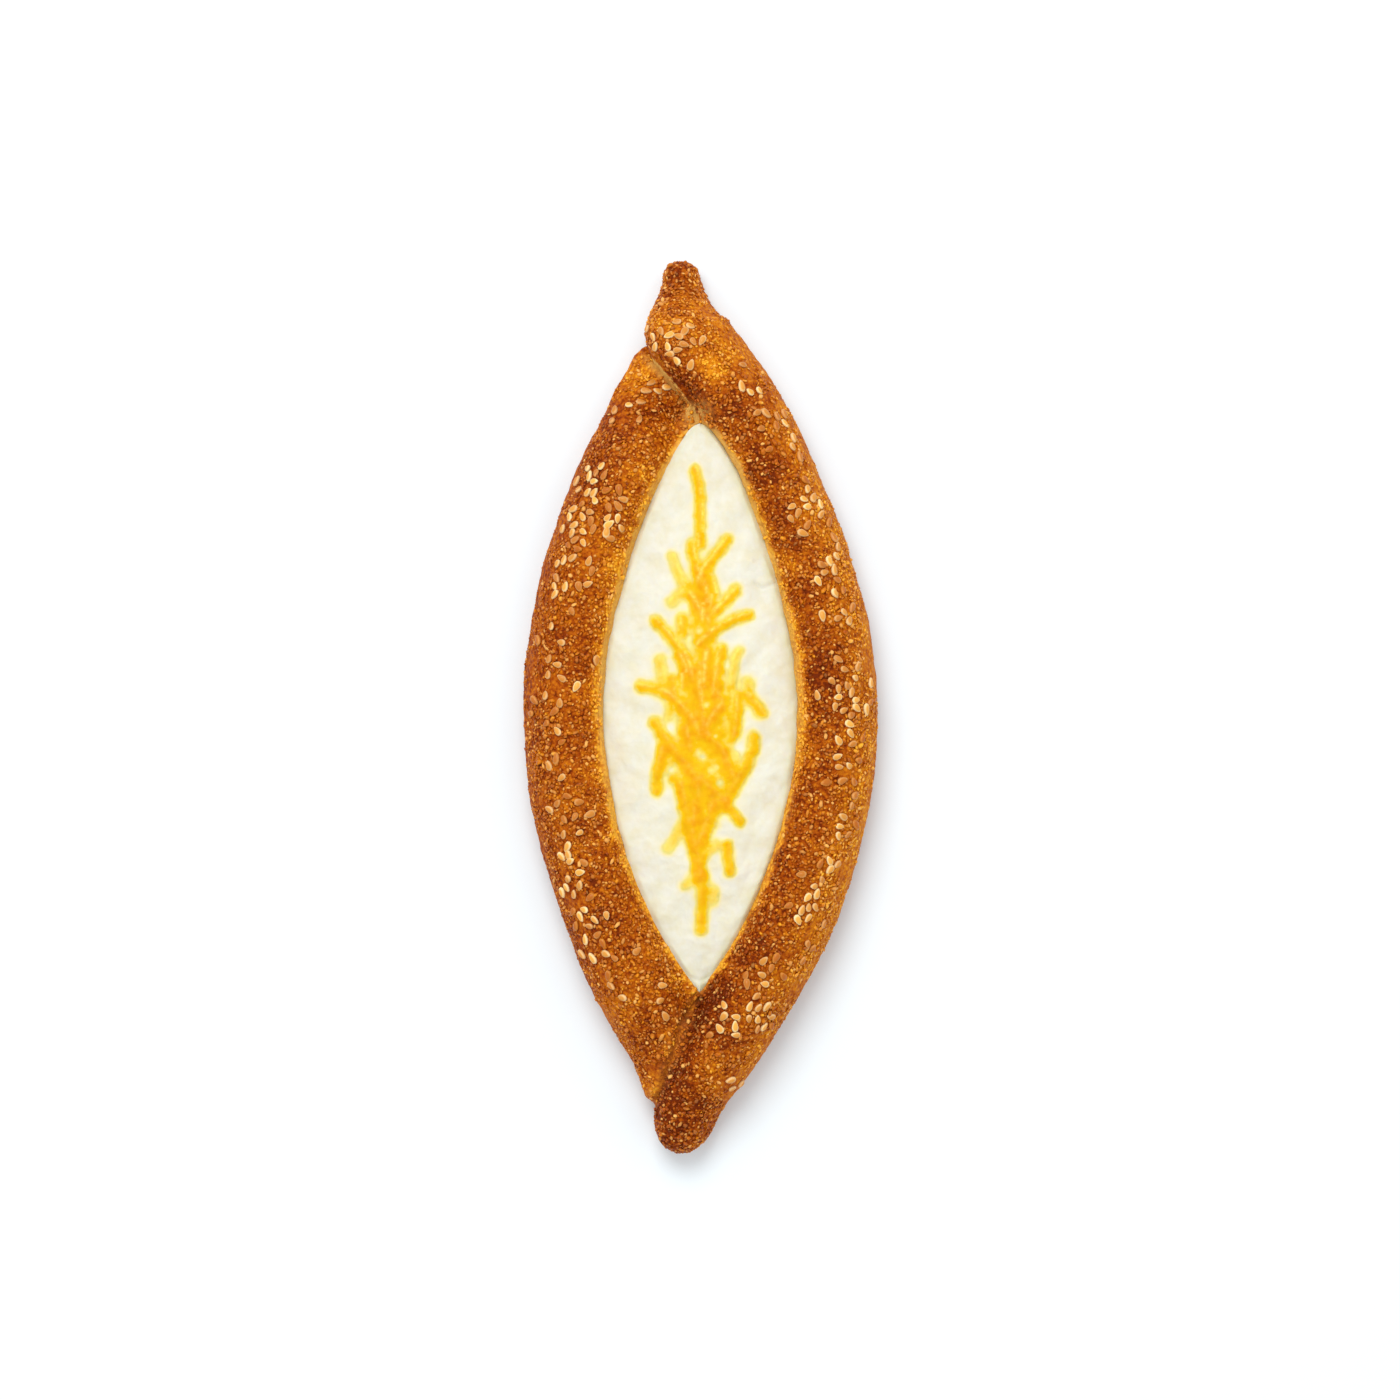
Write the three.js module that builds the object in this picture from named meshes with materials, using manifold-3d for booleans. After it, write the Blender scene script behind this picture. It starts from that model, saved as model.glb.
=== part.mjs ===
// A boat-shaped fatayer: two rolls of sesame dough that cross at both ends, round a filling of white
// cheese with melted grated cheese along its middle.
// Millimetres, +Z up from the tray it was baked on, +Y along the boat, origin under its middle.
import * as THREE from "three";
import { mergeVertices } from "three/addons/utils/BufferGeometryUtils.js";
import Module from "manifold-3d";

const wasm = await Module();
wasm.setup();
const { lerp, smoothstep, clamp, degToRad, seededRandom } = THREE.MathUtils;

// Driving dimensions of the dough
const rollMidX = 37.7; // from the long axis to the middle of each roll, at the boat's widest
const rollBend = 150; // radius of the arc that a roll follows
const rollHalf = 11.7; // half the width of a roll
const crestHeight = 28; // top of a roll above the tray
const crestLean = 0.24; // shift of the crest towards the filling, as a share of the half width
const widestShare = 0.4; // height of a roll's widest level, as a share of its crest
const traySink = 3.5; // depth of the round underside that the tray flattens
const floorThickness = 7; // dough under the filling
const unevenness = 0.02; // slow swelling and thinning of a roll, as a share of its size
const swellLength = 11; // length of that swelling over one radian

// Driving dimensions of the filling and the grated cheese
const openingHalfWidth = 27.3;
const openingHalfLength = 79.5;
const cheeseEdge = 20; // level of the white cheese where it meets the dough
const cheeseDome = 2; // how much higher it stands in the middle
const cheeseBlunt = 0.8; // how far the filling stops short of each point of the opening
const lumpHeight = 0.45;
const lumpSpacing = { across: 2.9, along: 3.7 }; // of the curds, over one radian
const lumpSway = { across: 4.3, along: 6.1, amount: 1.3 }; // keeps the curds out of rows
const shredHalfWidth = 2;
const shredHalfHeight = 1.3;
const shredLift = { low: 0.2, high: 0.9 }; // middle of a strip above the white cheese
const shredBend = 0.12; // most that a strip curves, in radians
const coreSize = { halfWidth: 9, halfLength: 47, height: 2.2, midX: 0.8, midY: -6 };
const fitGap = 0.3; // clearance between neighbouring solids

// Sesame seeds
const seedSize = { length: 3.1, width: 2, thickness: 1.5 };
const seedSunk = 0.45; // share of the thickness below the crust
const seedSpacing = 1.75; // step of the spiral that spreads the seeds of a clump
const seedClearance = 2.9; // least distance between two seeds
const seedSteepest = 0.25; // no seed lies where the crust's upward share of its normal is less

// The two rolls. Halfway up the boat's upper half a roll is closer to the axis, and slimmer, by its slim
// value. Each end says where the roll stops, how far from the axis it runs out, how gently it
// bends there, and the half width, crest and rounding that it tapers to between shoulder and neck.
const overRoll = {
  side: 1,
  slim: 1,
  top: { end: 125, inset: -5.1, blend: 2.2, half: 5.5, crest: 14, shoulder: 105.5, neck: 118, cap: 4.2 },
  bottom: { end: 125, inset: -5, blend: 6, half: 7.8, crest: 17, shoulder: 86, neck: 121, cap: 7.5 },
};
const underRoll = {
  side: -1,
  slim: 0.5,
  top: { end: 102, inset: 4.5, blend: 6, half: 11.2, crest: 20, shoulder: 74, neck: 100, cap: 9 },
  bottom: { end: 113, inset: 4, blend: 6, half: 10.8, crest: 20, shoulder: 74, neck: 104, cap: 6 },
};

// Clumps of sesame seeds: the middle of each, seen from above, and its number of seeds
const seedClumps = [
  { x: -7.8, y: 103.5, count: 18 },
  { x: -15.4, y: 87, count: 5 },
  { x: 14, y: 88.5, count: 3 },
  { x: 24.5, y: 77, count: 2 },
  { x: -29.5, y: 65, count: 4 },
  { x: 29.5, y: 57, count: 6 },
  { x: -34, y: 52, count: 10 },
  { x: -24.5, y: 52, count: 5 },
  { x: -38, y: 41, count: 4 },
  { x: 36.5, y: 40, count: 5 },
  { x: -39, y: 33, count: 4 },
  { x: 39.5, y: 28, count: 9 },
  { x: -41.5, y: 19, count: 3 },
  { x: -42, y: 11, count: 3 },
  { x: 40, y: 7.5, count: 12 },
  { x: -35, y: 6, count: 1 },
  { x: 43.5, y: 1.5, count: 5 },
  { x: -40, y: -6.5, count: 2 },
  { x: 41.5, y: -7.5, count: 6 },
  { x: 40.5, y: -16, count: 4 },
  { x: -41.5, y: -27, count: 2 },
  { x: 38.5, y: -33, count: 4 },
  { x: -37, y: -40, count: 5 },
  { x: 36.5, y: -44, count: 3 },
  { x: 32, y: -50.5, count: 5 },
  { x: -34, y: -51, count: 6 },
  { x: 29, y: -57.5, count: 6 },
  { x: -30, y: -59, count: 5 },
  { x: -29.5, y: -69, count: 4 },
  { x: 17.5, y: -75, count: 5 },
  { x: -23, y: -79, count: 2 },
  { x: -11, y: -82, count: 3 },
  { x: 12.5, y: -87, count: 14 },
  { x: 9, y: -105, count: 3 },
];

// Strips of grated cheese that stick out of the heap: the root's place, the way the strip points
// (degrees clockwise from +Y) and its length.
const outerShreds = [
  { x: 0.6, y: 41, way: -6, length: 26 },
  { x: -0.6, y: 37, way: 38, length: 14 },
  { x: -4, y: 31, way: -21, length: 13 },
  { x: -1.5, y: 33, way: -119, length: 8 },
  { x: 2, y: 24, way: 44, length: 13 },
  { x: -1.7, y: 17, way: 63, length: 18 },
  { x: -3.4, y: 15, way: -47, length: 14 },
  { x: -3, y: 15, way: -11, length: 11 },
  { x: -6, y: 2, way: -22, length: 13 },
  { x: -3.4, y: 1.8, way: -71, length: 15 },
  { x: 8, y: 7, way: 132, length: 14 },
  { x: 6, y: 5, way: 22, length: 13 },
  { x: 1.7, y: -18, way: -46, length: 21 },
  { x: 6, y: -24, way: 28, length: 19 },
  { x: -9, y: -8, way: -169, length: 18 },
  { x: 4, y: -23, way: 138, length: 13 },
  { x: -2, y: -31, way: -142, length: 12 },
  { x: 3, y: -33, way: 162, length: 16 },
  { x: 0.5, y: -46, way: -123, length: 8 },
  { x: 0.6, y: -42, way: 180, length: 21 },
];
const innerShreds = { count: 9, length: 15, spread: 5, lean: 38, run: 70 };

// Seeded draws, so that every run gives the same part
let drawn = 0;
function draw(low, high) {
  drawn += 1;
  return lerp(low, high, seededRandom(drawn));
}

// A closed geometry as a solid, and a solid as a geometry
function solidOf(geometry) {
  const bare = new THREE.BufferGeometry()
    .setAttribute("position", geometry.getAttribute("position"))
    .setIndex(geometry.index);
  const merged = mergeVertices(bare, 1e-4);
  return new wasm.Manifold(
    new wasm.Mesh({
      numProp: 3,
      vertProperties: merged.getAttribute("position").array,
      triVerts: new Uint32Array(merged.index.array),
    }),
  );
}

function geometryOf(solid) {
  const mesh = solid.getMesh();
  const geometry = new THREE.BufferGeometry()
    .setAttribute("position", new THREE.BufferAttribute(mesh.vertProperties, 3))
    .setIndex(new THREE.BufferAttribute(mesh.triVerts, 1));
  geometry.computeVertexNormals();
  return geometry;
}

// Moves every vertex of a geometry to where place() puts it
function reshape(geometry, place) {
  const position = geometry.getAttribute("position");
  const vertex = new THREE.Vector3();
  for (let i = 0; i < position.count; i++) {
    const moved = place(vertex.fromBufferAttribute(position, i));
    position.setXYZ(i, moved.x, moved.y, moved.z);
  }
  return geometry;
}

// Dough
function smoothMax(a, b, blend) {
  return blend * Math.log(Math.exp(a / blend) + Math.exp(b / blend));
}

function endOf(roll, y) {
  return y > 0 ? roll.top : roll.bottom;
}

// Rises from the middle of the boat to the middle of its upper half and falls again to the top end
function upperShare(y) {
  return Math.sin(Math.PI * clamp(y / overRoll.top.neck, 0, 1)) ** 2;
}

// The line that a roll follows, as its distance from the long axis at y
function rollX(roll, y) {
  const end = endOf(roll, y);
  const arc = Math.sqrt(rollBend ** 2 - y ** 2) - rollBend + rollMidX;
  return roll.side * smoothMax(arc - roll.slim * upperShare(y), end.inset, end.blend);
}

// The unit vector across a roll at y, on the tray, towards +X
function acrossRoll(roll, y) {
  const step = 0.01;
  const slope = (rollX(roll, y + step) - rollX(roll, y - step)) / (2 * step);
  return new THREE.Vector2(1, -slope).normalize();
}

function rollSize(roll, y) {
  const end = endOf(roll, y);
  const taper = smoothstep(Math.abs(y), end.shoulder, end.neck);
  const swell = 1 + unevenness * Math.sin(y / swellLength) * roll.side;
  const half = lerp(rollHalf - roll.slim * upperShare(y), end.half, taper) * swell;
  const crest = lerp(crestHeight, end.crest, taper) * swell;
  return { half, crest };
}

// A point of a roll's surface: out and up lie on the unit circle, with out away from the filling
function rollPoint(roll, y, out, up) {
  const { half, crest } = rollSize(roll, y);
  const widest = widestShare * crest;
  const across = acrossRoll(roll, y);
  const offset = roll.side * half * (out - crestLean * Math.max(0, up));
  const height = up > 0 ? crest - widest : widest + traySink;
  return new THREE.Vector3(rollX(roll, y) + across.x * offset, y + across.y * offset, widest + up * height);
}

function rollSolid(roll) {
  const capSegments = 3;
  const sides = 16;
  const stations = 38;
  const crowding = 0.75; // stations stand closer together towards the ends
  const capsule = new THREE.CapsuleGeometry(1, 2, capSegments, sides, stations);
  const shaped = reshape(capsule, (p) => {
    const share = clamp(p.y, -1, 1);
    const end = endOf(roll, share);
    const eased = Math.sin((share * crowding * Math.PI) / 2) / Math.sin((crowding * Math.PI) / 2);
    const y = (end.end - end.cap) * eased + end.cap * (p.y - share);
    return rollPoint(roll, y, roll.side * p.x, p.z);
  });
  return solidOf(shaped);
}

// A pointed oval between two arcs
function lensRadius(halfWidth, halfLength) {
  return (halfLength ** 2 + halfWidth ** 2) / (2 * halfWidth);
}

function lensShape(halfWidth, halfLength) {
  const radius = lensRadius(halfWidth, halfLength);
  const reach = Math.asin(halfLength / radius);
  return new THREE.Shape()
    .absarc(halfWidth - radius, 0, radius, -reach, reach, false)
    .absarc(radius - halfWidth, 0, radius, Math.PI - reach, Math.PI + reach, false);
}

function lensSolid(halfWidth, halfLength, low, high) {
  const settings = { depth: high - low, bevelEnabled: false, curveSegments: 22 };
  const geometry = new THREE.ExtrudeGeometry(lensShape(halfWidth, halfLength), settings);
  return solidOf(geometry.translate(0, 0, low));
}

function allBelow(level) {
  const block = 400;
  return solidOf(new THREE.BoxGeometry(block, block, block).translate(0, 0, level - block / 2));
}

function bareDough() {
  const floorHalfLength = 98;
  const above = 2 * crestHeight;
  const floor = lensSolid(rollMidX, floorHalfLength, -traySink, floorThickness);
  const hollow = lensSolid(openingHalfWidth + fitGap, openingHalfLength + fitGap, floorThickness, above);
  return rollSolid(overRoll).add(rollSolid(underRoll)).add(floor).subtract(hollow).subtract(allBelow(0));
}

// Sesame seeds
function seedGeometry() {
  const taper = 0.3; // one end of the seed is narrower
  return reshape(new THREE.SphereGeometry(1, 5, 3), (p) => {
    const width = 1 - taper * p.y;
    return p.set(
      (p.x * width * seedSize.width) / 2,
      (p.y * seedSize.length) / 2,
      (p.z * seedSize.thickness) / 2,
    );
  });
}

// Where a seed dropped at (x, y) comes to lie on the crust, if it does
function crustBelow(crust, x, y) {
  const from = new THREE.Vector3(x, y, 2 * crestHeight);
  const hits = new THREE.Raycaster(from, new THREE.Vector3(0, 0, -1)).intersectObject(crust);
  const top = hits.slice(0, 1).map(({ point, face }) => ({ point, normal: face.normal }));
  return top.filter(({ point, normal }) => point.z > cheeseEdge / 2 && normal.z > seedSteepest);
}

// The seeds of a clump lie on a spiral, like those of a sunflower
function clumpPlaces(crust, { x, y, count }) {
  const goldenAngle = Math.PI * (3 - Math.sqrt(5));
  return Array.from({ length: count }).flatMap((_, i) => {
    const reach = seedSpacing * Math.sqrt(i + 0.5);
    const turn = i * goldenAngle + draw(-0.3, 0.3);
    return crustBelow(crust, x + reach * Math.cos(turn), y + reach * Math.sin(turn));
  });
}

function seedPlaces(crust) {
  const kept = [];
  for (const place of seedClumps.flatMap((clump) => clumpPlaces(crust, clump))) {
    const clear = kept.every(({ point }) => point.distanceTo(place.point) > seedClearance);
    if (clear) kept.push(place);
  }
  return kept;
}

function seedSolid({ point, normal }) {
  const lift = seedSize.thickness * (0.5 - seedSunk);
  const upright = new THREE.Vector3(0, 0, 1);
  const lean = new THREE.Quaternion().setFromUnitVectors(upright, normal);
  const seed = seedGeometry()
    .rotateZ(draw(0, 2 * Math.PI))
    .translate(0, 0, lift)
    .applyQuaternion(lean)
    .translate(point.x, point.y, point.z);
  return solidOf(seed);
}

function doughGeometry() {
  const bare = bareDough();
  const crust = new THREE.Mesh(geometryOf(bare));
  const seeds = seedPlaces(crust).map(seedSolid);
  return geometryOf(seeds.reduce((dough, seed) => dough.add(seed), bare));
}

// White cheese
function openingHalf(y) {
  const radius = lensRadius(openingHalfWidth, openingHalfLength);
  return Math.sqrt(radius ** 2 - y ** 2) - radius + openingHalfWidth;
}

function cheeseTop(x, y) {
  const crown = (1 - (x / openingHalfWidth) ** 2) * (1 - (y / openingHalfLength) ** 2);
  const rowsAcross = x / lumpSpacing.across + lumpSway.amount * Math.sin(y / lumpSway.along);
  const rowsAlong = y / lumpSpacing.along + lumpSway.amount * Math.sin(x / lumpSway.across);
  const lumps = Math.sin(rowsAcross) * Math.sin(rowsAlong);
  return cheeseEdge + cheeseDome * crown + lumpHeight * lumps;
}

function whiteCheeseSolid() {
  const steps = { across: 12, along: 36 };
  const halfLength = openingHalfLength - cheeseBlunt;
  const block = new THREE.BoxGeometry(2, 2, 2, steps.across, steps.along, 1);
  const shaped = reshape(block, (p) => {
    const y = p.y * halfLength;
    const x = p.x * openingHalf(y);
    return p.set(x, y, p.z > 0 ? cheeseTop(x, y) : 0);
  });
  return solidOf(shaped).subtract(allBelow(floorThickness + fitGap));
}

// Grated cheese: a flat core with strips fused on, cut to the surface that it melted onto
function shredSolid({ x, y, way, length }) {
  const capsule = new THREE.CapsuleGeometry(1, 2, 2, 6, 2);
  const heading = degToRad(way);
  const bend = draw(-shredBend, shredBend);
  const lift = draw(shredLift.low, shredLift.high);
  const shaped = reshape(capsule, (p) => {
    const straight = clamp(p.y, -1, 1);
    const along = ((straight + 1) / 2) * (length - shredHalfWidth) + (p.y - straight) * shredHalfWidth;
    const turn = heading + bend * (along / length - 0.5);
    const side = p.x * shredHalfWidth;
    const placeX = x + along * Math.sin(turn) + side * Math.cos(heading);
    const placeY = y + along * Math.cos(turn) - side * Math.sin(heading);
    return p.set(placeX, placeY, cheeseTop(placeX, placeY) + lift + p.z * shredHalfHeight);
  });
  return solidOf(shaped);
}

function shredCore() {
  const { halfWidth, halfLength, height, midX, midY } = coreSize;
  const shaped = reshape(new THREE.SphereGeometry(1, 12, 14), (p) => {
    const x = midX + p.x * halfWidth;
    const y = midY + p.y * halfLength;
    return p.set(x, y, cheeseTop(x, y) + p.z * height);
  });
  return solidOf(shaped);
}

function innerShred(_, i) {
  const { count, length, spread, lean, run } = innerShreds;
  const share = (i + 0.5) / count - 0.5;
  return {
    x: draw(-spread, spread),
    y: coreSize.midY + run * share - length / 2,
    way: draw(-lean, lean),
    length,
  };
}

function gratedCheeseSolid(whiteCheese) {
  const inner = Array.from({ length: innerShreds.count }, innerShred);
  const strips = [...outerShreds, ...inner].map(shredSolid);
  const heap = strips.reduce((sum, strip) => sum.add(strip), shredCore());
  return heap.subtract(whiteCheese.translate(0, 0, fitGap));
}

// The part
function piece(name, geometry, color, roughness) {
  const material = new THREE.MeshStandardMaterial({ color, roughness, metalness: 0 });
  const mesh = new THREE.Mesh(geometry, material);
  mesh.name = name;
  return mesh;
}

const whiteCheese = whiteCheeseSolid();
const fatayer = new THREE.Group();
fatayer.add(
  piece("dough", doughGeometry(), "#b9681f", 0.6),
  piece("white_cheese", geometryOf(whiteCheese), "#f6f3e2", 0.5),
  piece("grated_cheese", geometryOf(gratedCheeseSolid(whiteCheese)), "#ffc20a", 0.4),
);

export default fatayer;
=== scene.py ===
import itertools
import math
import random

import bmesh
import bpy
import numpy as np
from mathutils import Matrix, Vector, noise
from mathutils.bvhtree import BVHTree


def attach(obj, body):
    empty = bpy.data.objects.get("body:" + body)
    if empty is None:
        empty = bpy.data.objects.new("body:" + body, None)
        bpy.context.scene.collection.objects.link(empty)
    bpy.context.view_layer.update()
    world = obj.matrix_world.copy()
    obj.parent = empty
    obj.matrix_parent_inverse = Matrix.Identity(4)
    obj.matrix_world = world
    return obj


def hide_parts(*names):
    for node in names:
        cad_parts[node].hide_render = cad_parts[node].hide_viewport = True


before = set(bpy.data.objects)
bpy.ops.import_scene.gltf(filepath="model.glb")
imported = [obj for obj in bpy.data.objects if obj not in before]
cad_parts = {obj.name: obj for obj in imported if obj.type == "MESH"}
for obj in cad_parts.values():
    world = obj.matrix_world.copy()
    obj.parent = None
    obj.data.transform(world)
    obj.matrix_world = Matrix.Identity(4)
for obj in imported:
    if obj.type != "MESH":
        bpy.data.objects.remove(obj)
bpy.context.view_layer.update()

# Cheese fatayer: a boat of sesame dough, white cheese in its opening, melted strips on the cheese.
# Metres, +Z up, +Y along the boat; the sizes in the dictionaries are millimetres.
mm = 0.001
tiny = 1e-6  # points closer than this are one
farOff = 1e9  # further than any line
draw = random.Random(41)
scene = bpy.context.scene


def smoothStep(value, low, high):
    share = np.clip((np.asarray(value, float) - low) / (high - low), 0, 1)
    return share * share * (3 - 2 * share)


# 1 at zero, falling off on both sides
def bell(offset):
    return np.exp(-(offset**2))


def smoothMax(a, b, blend):
    return blend * np.logaddexp(a / blend, b / blend)


def ballMesh(segments, radius=1):
    bm = bmesh.new()
    around, rings = segments
    bmesh.ops.create_uvsphere(bm, u_segments=around, v_segments=rings, radius=radius)
    return bm


def gridMesh(across, along, size=1):
    bm = bmesh.new()
    bmesh.ops.create_grid(bm, x_segments=across, y_segments=along, size=size)
    return bm


def meshFrom(name, bm):
    mesh = bpy.data.meshes.new(name)
    bm.to_mesh(mesh)
    bm.free()
    return mesh


def objectFrom(name, bm):
    piece = bpy.data.objects.new(name, meshFrom(name, bm))
    scene.collection.objects.link(piece)
    return piece


def solidFrom(name, bm):
    bmesh.ops.recalc_face_normals(bm, faces=bm.faces[:])
    return objectFrom(name, bm)


def applyModifiers(piece):
    depsgraph = bpy.context.evaluated_depsgraph_get()
    finished = bpy.data.meshes.new_from_object(piece.evaluated_get(depsgraph))
    piece.modifiers.clear()
    old, piece.data = piece.data, finished
    bpy.data.meshes.remove(old)
    finished.name = piece.name


def dropObject(piece):
    mesh = piece.data
    bpy.data.objects.remove(piece)
    bpy.data.meshes.remove(mesh)


def coordinates(mesh):
    flat = np.zeros(len(mesh.vertices) * 3)
    mesh.vertices.foreach_get("co", flat)
    return flat.reshape(-1, 3)


def setAttribute(mesh, name, values):
    layer = mesh.attributes.get(name) or mesh.attributes.new(name, "FLOAT", "POINT")
    layer.data.foreach_set("value", np.asarray(values, np.float32))


def shadeSmooth(mesh):
    mesh.polygons.foreach_set("use_smooth", [True] * len(mesh.polygons))
    mesh.update()


def placeVerts(bm, places):
    for vert, place in zip(bm.verts, places):
        vert.co = place


def vertsOf(geometry):
    return [part for part in geometry if isinstance(part, bmesh.types.BMVert)]


dough = {
    "rollMidX": 37.7, "rollBend": 150, "rollHalf": 11.7, "crest": 28, "crestLean": 0.24,
    "widest": 0.4, "upperEnd": 118, "sink": 3.5, "uneven": 0.02, "swell": 11, "lastY": 124.5,
    "floorHalf": (37.7, 98), "floorTop": 7, "collarHalf": (33, 88), "collarTop": 19.6,
    "hollowTop": 60, "lensRows": 120,
    "opening": {
        "half": 27.3, "top": 81.3, "bottom": 79.3, "ends": (-79.3, 79.1), "round": 2.2, "slim": (1.2, 80),
        "bulge": (68, 8, 1.2),  # on the right: along, run, how far out
    },
    "lipWander": ((6, 0.55), (2.8, 0.3)),  # length of the waves in the lip, how far it comes in
    "lipApart": 9, "lipMean": 0.5, "lipEnds": (1, 8),  # no waves where the opening is narrow
    "segments": (40, 190), "capShare": 0.06,
    "voxel": 0.65, "smoothing": (2, 0.5), "kept": 0.65,  # share of the faces kept
    "crease": (1.7, 0.85), "creaseFacing": (0, 0.5),  # depth and reach of the crease between the rolls
    "relief": ((16, 0.4), (5.5, 0.22), (1.9, 0.22)), "reliefFrom": (0.5, 4),  # size of the swellings, height
}
overRoll = {
    "side": 1, "slim": 1,
    "bulges": ((-16, 16, 0.9), (-100, 12, 1.2), (104, 5, -0.6)),  # along, run, how far out
    # at the top end, at the bottom end
    "end": (125, 125), "inset": (-5.05, -5.4), "blend": (2.9, 6), "half": (5.1, 8.1), "crest": (13, 17),
    "shoulder": (103, 86), "neck": (121, 121), "cap": (4.4, 10), "point": (0.8, 0.9),
}
underRoll = {
    "side": -1, "slim": 0.5, "bulges": ((-80, 22, 1.2), (84, 5, 0.8), (99, 4, -1)),
    "end": (102, 112.2), "inset": (4.5, 4), "blend": (6, 6), "half": (11.2, 10.8), "crest": (12, 20),
    "shoulder": (68, 74), "neck": (95, 104), "cap": (9, 6), "point": (1, 1),
}


def endValue(roll, y, key):
    return np.where(y > 0, *roll[key])


def upperShare(y):
    return np.sin(np.pi * np.clip(y / dough["upperEnd"], 0, 1)) ** 2


# the line that a roll follows, and its width and height along it
def rollLine(roll, y):
    arc = np.sqrt(dough["rollBend"] ** 2 - y**2) - dough["rollBend"] + dough["rollMidX"]
    inset, blend = endValue(roll, y, "inset"), endValue(roll, y, "blend")
    bulge = sum(out * bell((y - at) / run) for at, run, out in roll["bulges"])
    return roll["side"] * (smoothMax(arc - roll["slim"] * upperShare(y), inset, blend) + bulge)


def acrossRoll(roll, y):
    nudge = 0.01
    slope = (rollLine(roll, y + nudge) - rollLine(roll, y - nudge)) / (2 * nudge)
    length = np.sqrt(1 + slope**2)
    return 1 / length, -slope / length


def rollSize(roll, y):
    taper = smoothStep(np.abs(y), endValue(roll, y, "shoulder"), endValue(roll, y, "neck"))
    swell = 1 + dough["uneven"] * np.sin(y / dough["swell"]) * roll["side"]
    full = dough["rollHalf"] - roll["slim"] * upperShare(y)
    half = full + (endValue(roll, y, "half") - full) * taper
    crest = dough["crest"] + (endValue(roll, y, "crest") - dough["crest"]) * taper
    return half * swell, crest * swell


def rollPiece(name, roll):
    bm = ballMesh(dough["segments"])
    ball = np.array([vert.co for vert in bm.verts])
    along = np.arcsin(np.clip(ball[:, 2], -1, 1)) / (np.pi / 2)  # rings at even steps from end to end
    around = np.hypot(ball[:, 0], ball[:, 1])
    around = np.where(around < tiny, 1, around)
    straight = np.clip(along / (1 - dough["capShare"]), -1, 1)
    capTurn = np.clip((np.abs(along) - 1) / dough["capShare"] + 1, 0, 1) * np.pi / 2
    end, cap, point = (endValue(roll, straight, key) for key in ("end", "cap", "point"))
    out = ball[:, 0] / around * np.cos(capTurn) ** point
    up = ball[:, 1] / around * np.cos(capTurn) ** point
    y = (end - cap) * straight + cap * np.sin(capTurn) * np.sign(along)
    half, crest = rollSize(roll, y)
    widest = dough["widest"] * crest
    acrossX, acrossY = acrossRoll(roll, y)
    offset = roll["side"] * half * (out - dough["crestLean"] * np.maximum(0, up))
    height = np.where(up > 0, crest - widest, widest + dough["sink"])
    places = np.stack([rollLine(roll, y) + acrossX * offset, y + acrossY * offset, widest + up * height], 1)
    placeVerts(bm, places * mm)
    bmesh.ops.remove_doubles(bm, verts=bm.verts[:], dist=tiny)
    return solidFrom(name, bm)


# half the width of a pointed oval between two arcs
def lensHalf(y, halfWidth, halfLength):
    radius = (halfLength**2 + halfWidth**2) / (2 * halfWidth)
    return np.sqrt(np.maximum(radius**2 - y**2, 0)) - radius + halfWidth


def openingHalf(y, side=-1):
    opening = dough["opening"]
    length = np.where(y > 0, opening["top"], opening["bottom"])
    slim, run = opening["slim"]
    half = lensHalf(y, opening["half"], length) - slim * np.sin(np.pi * np.clip(y / run, 0, 1)) ** 2
    at, run, out = opening["bulge"]
    half = half + np.where(side > 0, out * bell((y - at) / run), 0)
    past = np.clip((y - opening["ends"][1]) / opening["round"] + 1, 0, 1)
    return np.maximum(half, 0) * np.sqrt(1 - past**2)


# the lip comes in over the filling by a little, unevenly
def lipHalf(y, side):
    apart = side * dough["lipApart"]
    inside = sum(
        reach * (dough["lipMean"] + noise.noise(Vector((apart, y / size, 0))))
        for size, reach in dough["lipWander"]
    )
    return openingHalf(y, side) - max(inside, 0) * smoothStep(openingHalf(y), *dough["lipEnds"])


# an upright block over a pointed oval
def lensPiece(name, halfAt, lowY, highY, low, high):
    bm = gridMesh(2, dough["lensRows"])
    for vert in bm.verts:
        y = (lowY + highY) / 2 + vert.co.y * (highY - lowY) / 2
        vert.co = Vector((vert.co.x * float(halfAt(y, vert.co.x)), y, low)) * mm
    bmesh.ops.remove_doubles(bm, verts=bm.verts[:], dist=tiny)
    raised = bmesh.ops.extrude_face_region(bm, geom=bm.faces[:])["geom"]
    bmesh.ops.translate(bm, verts=vertsOf(raised), vec=(0, 0, (high - low) * mm))
    return solidFrom(name, bm)


def ovalBlock(name, halves, low, high):
    half, end = halves
    return lensPiece(name, lambda y, side: lensHalf(y, half, end), -end, end, low, high)


# how far a point in plan lies across its roll, from -1 at the filling to 1 at the outside
def acrossShare(roll, x, y):
    acrossX, _ = acrossRoll(roll, y)
    half, _ = rollSize(roll, y)
    return roll["side"] * (x - rollLine(roll, y)) * acrossX / half


# height of a roll's upper side, -1 where it has none
def rollHeight(roll, x, y):
    share, lean = acrossShare(roll, x, y), dough["crestLean"]
    _, crest = rollSize(roll, y)
    root = np.maximum((share * lean) ** 2 - (1 + lean**2) * (share**2 - 1), 0)
    up = (np.sqrt(root) - share * lean) / (1 + lean**2)
    widest = dough["widest"] * crest
    within = (np.abs(share) < 1) & (np.abs(y) < endValue(roll, y, "end"))
    return np.where(within, widest + up * (crest - widest), -1)


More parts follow.
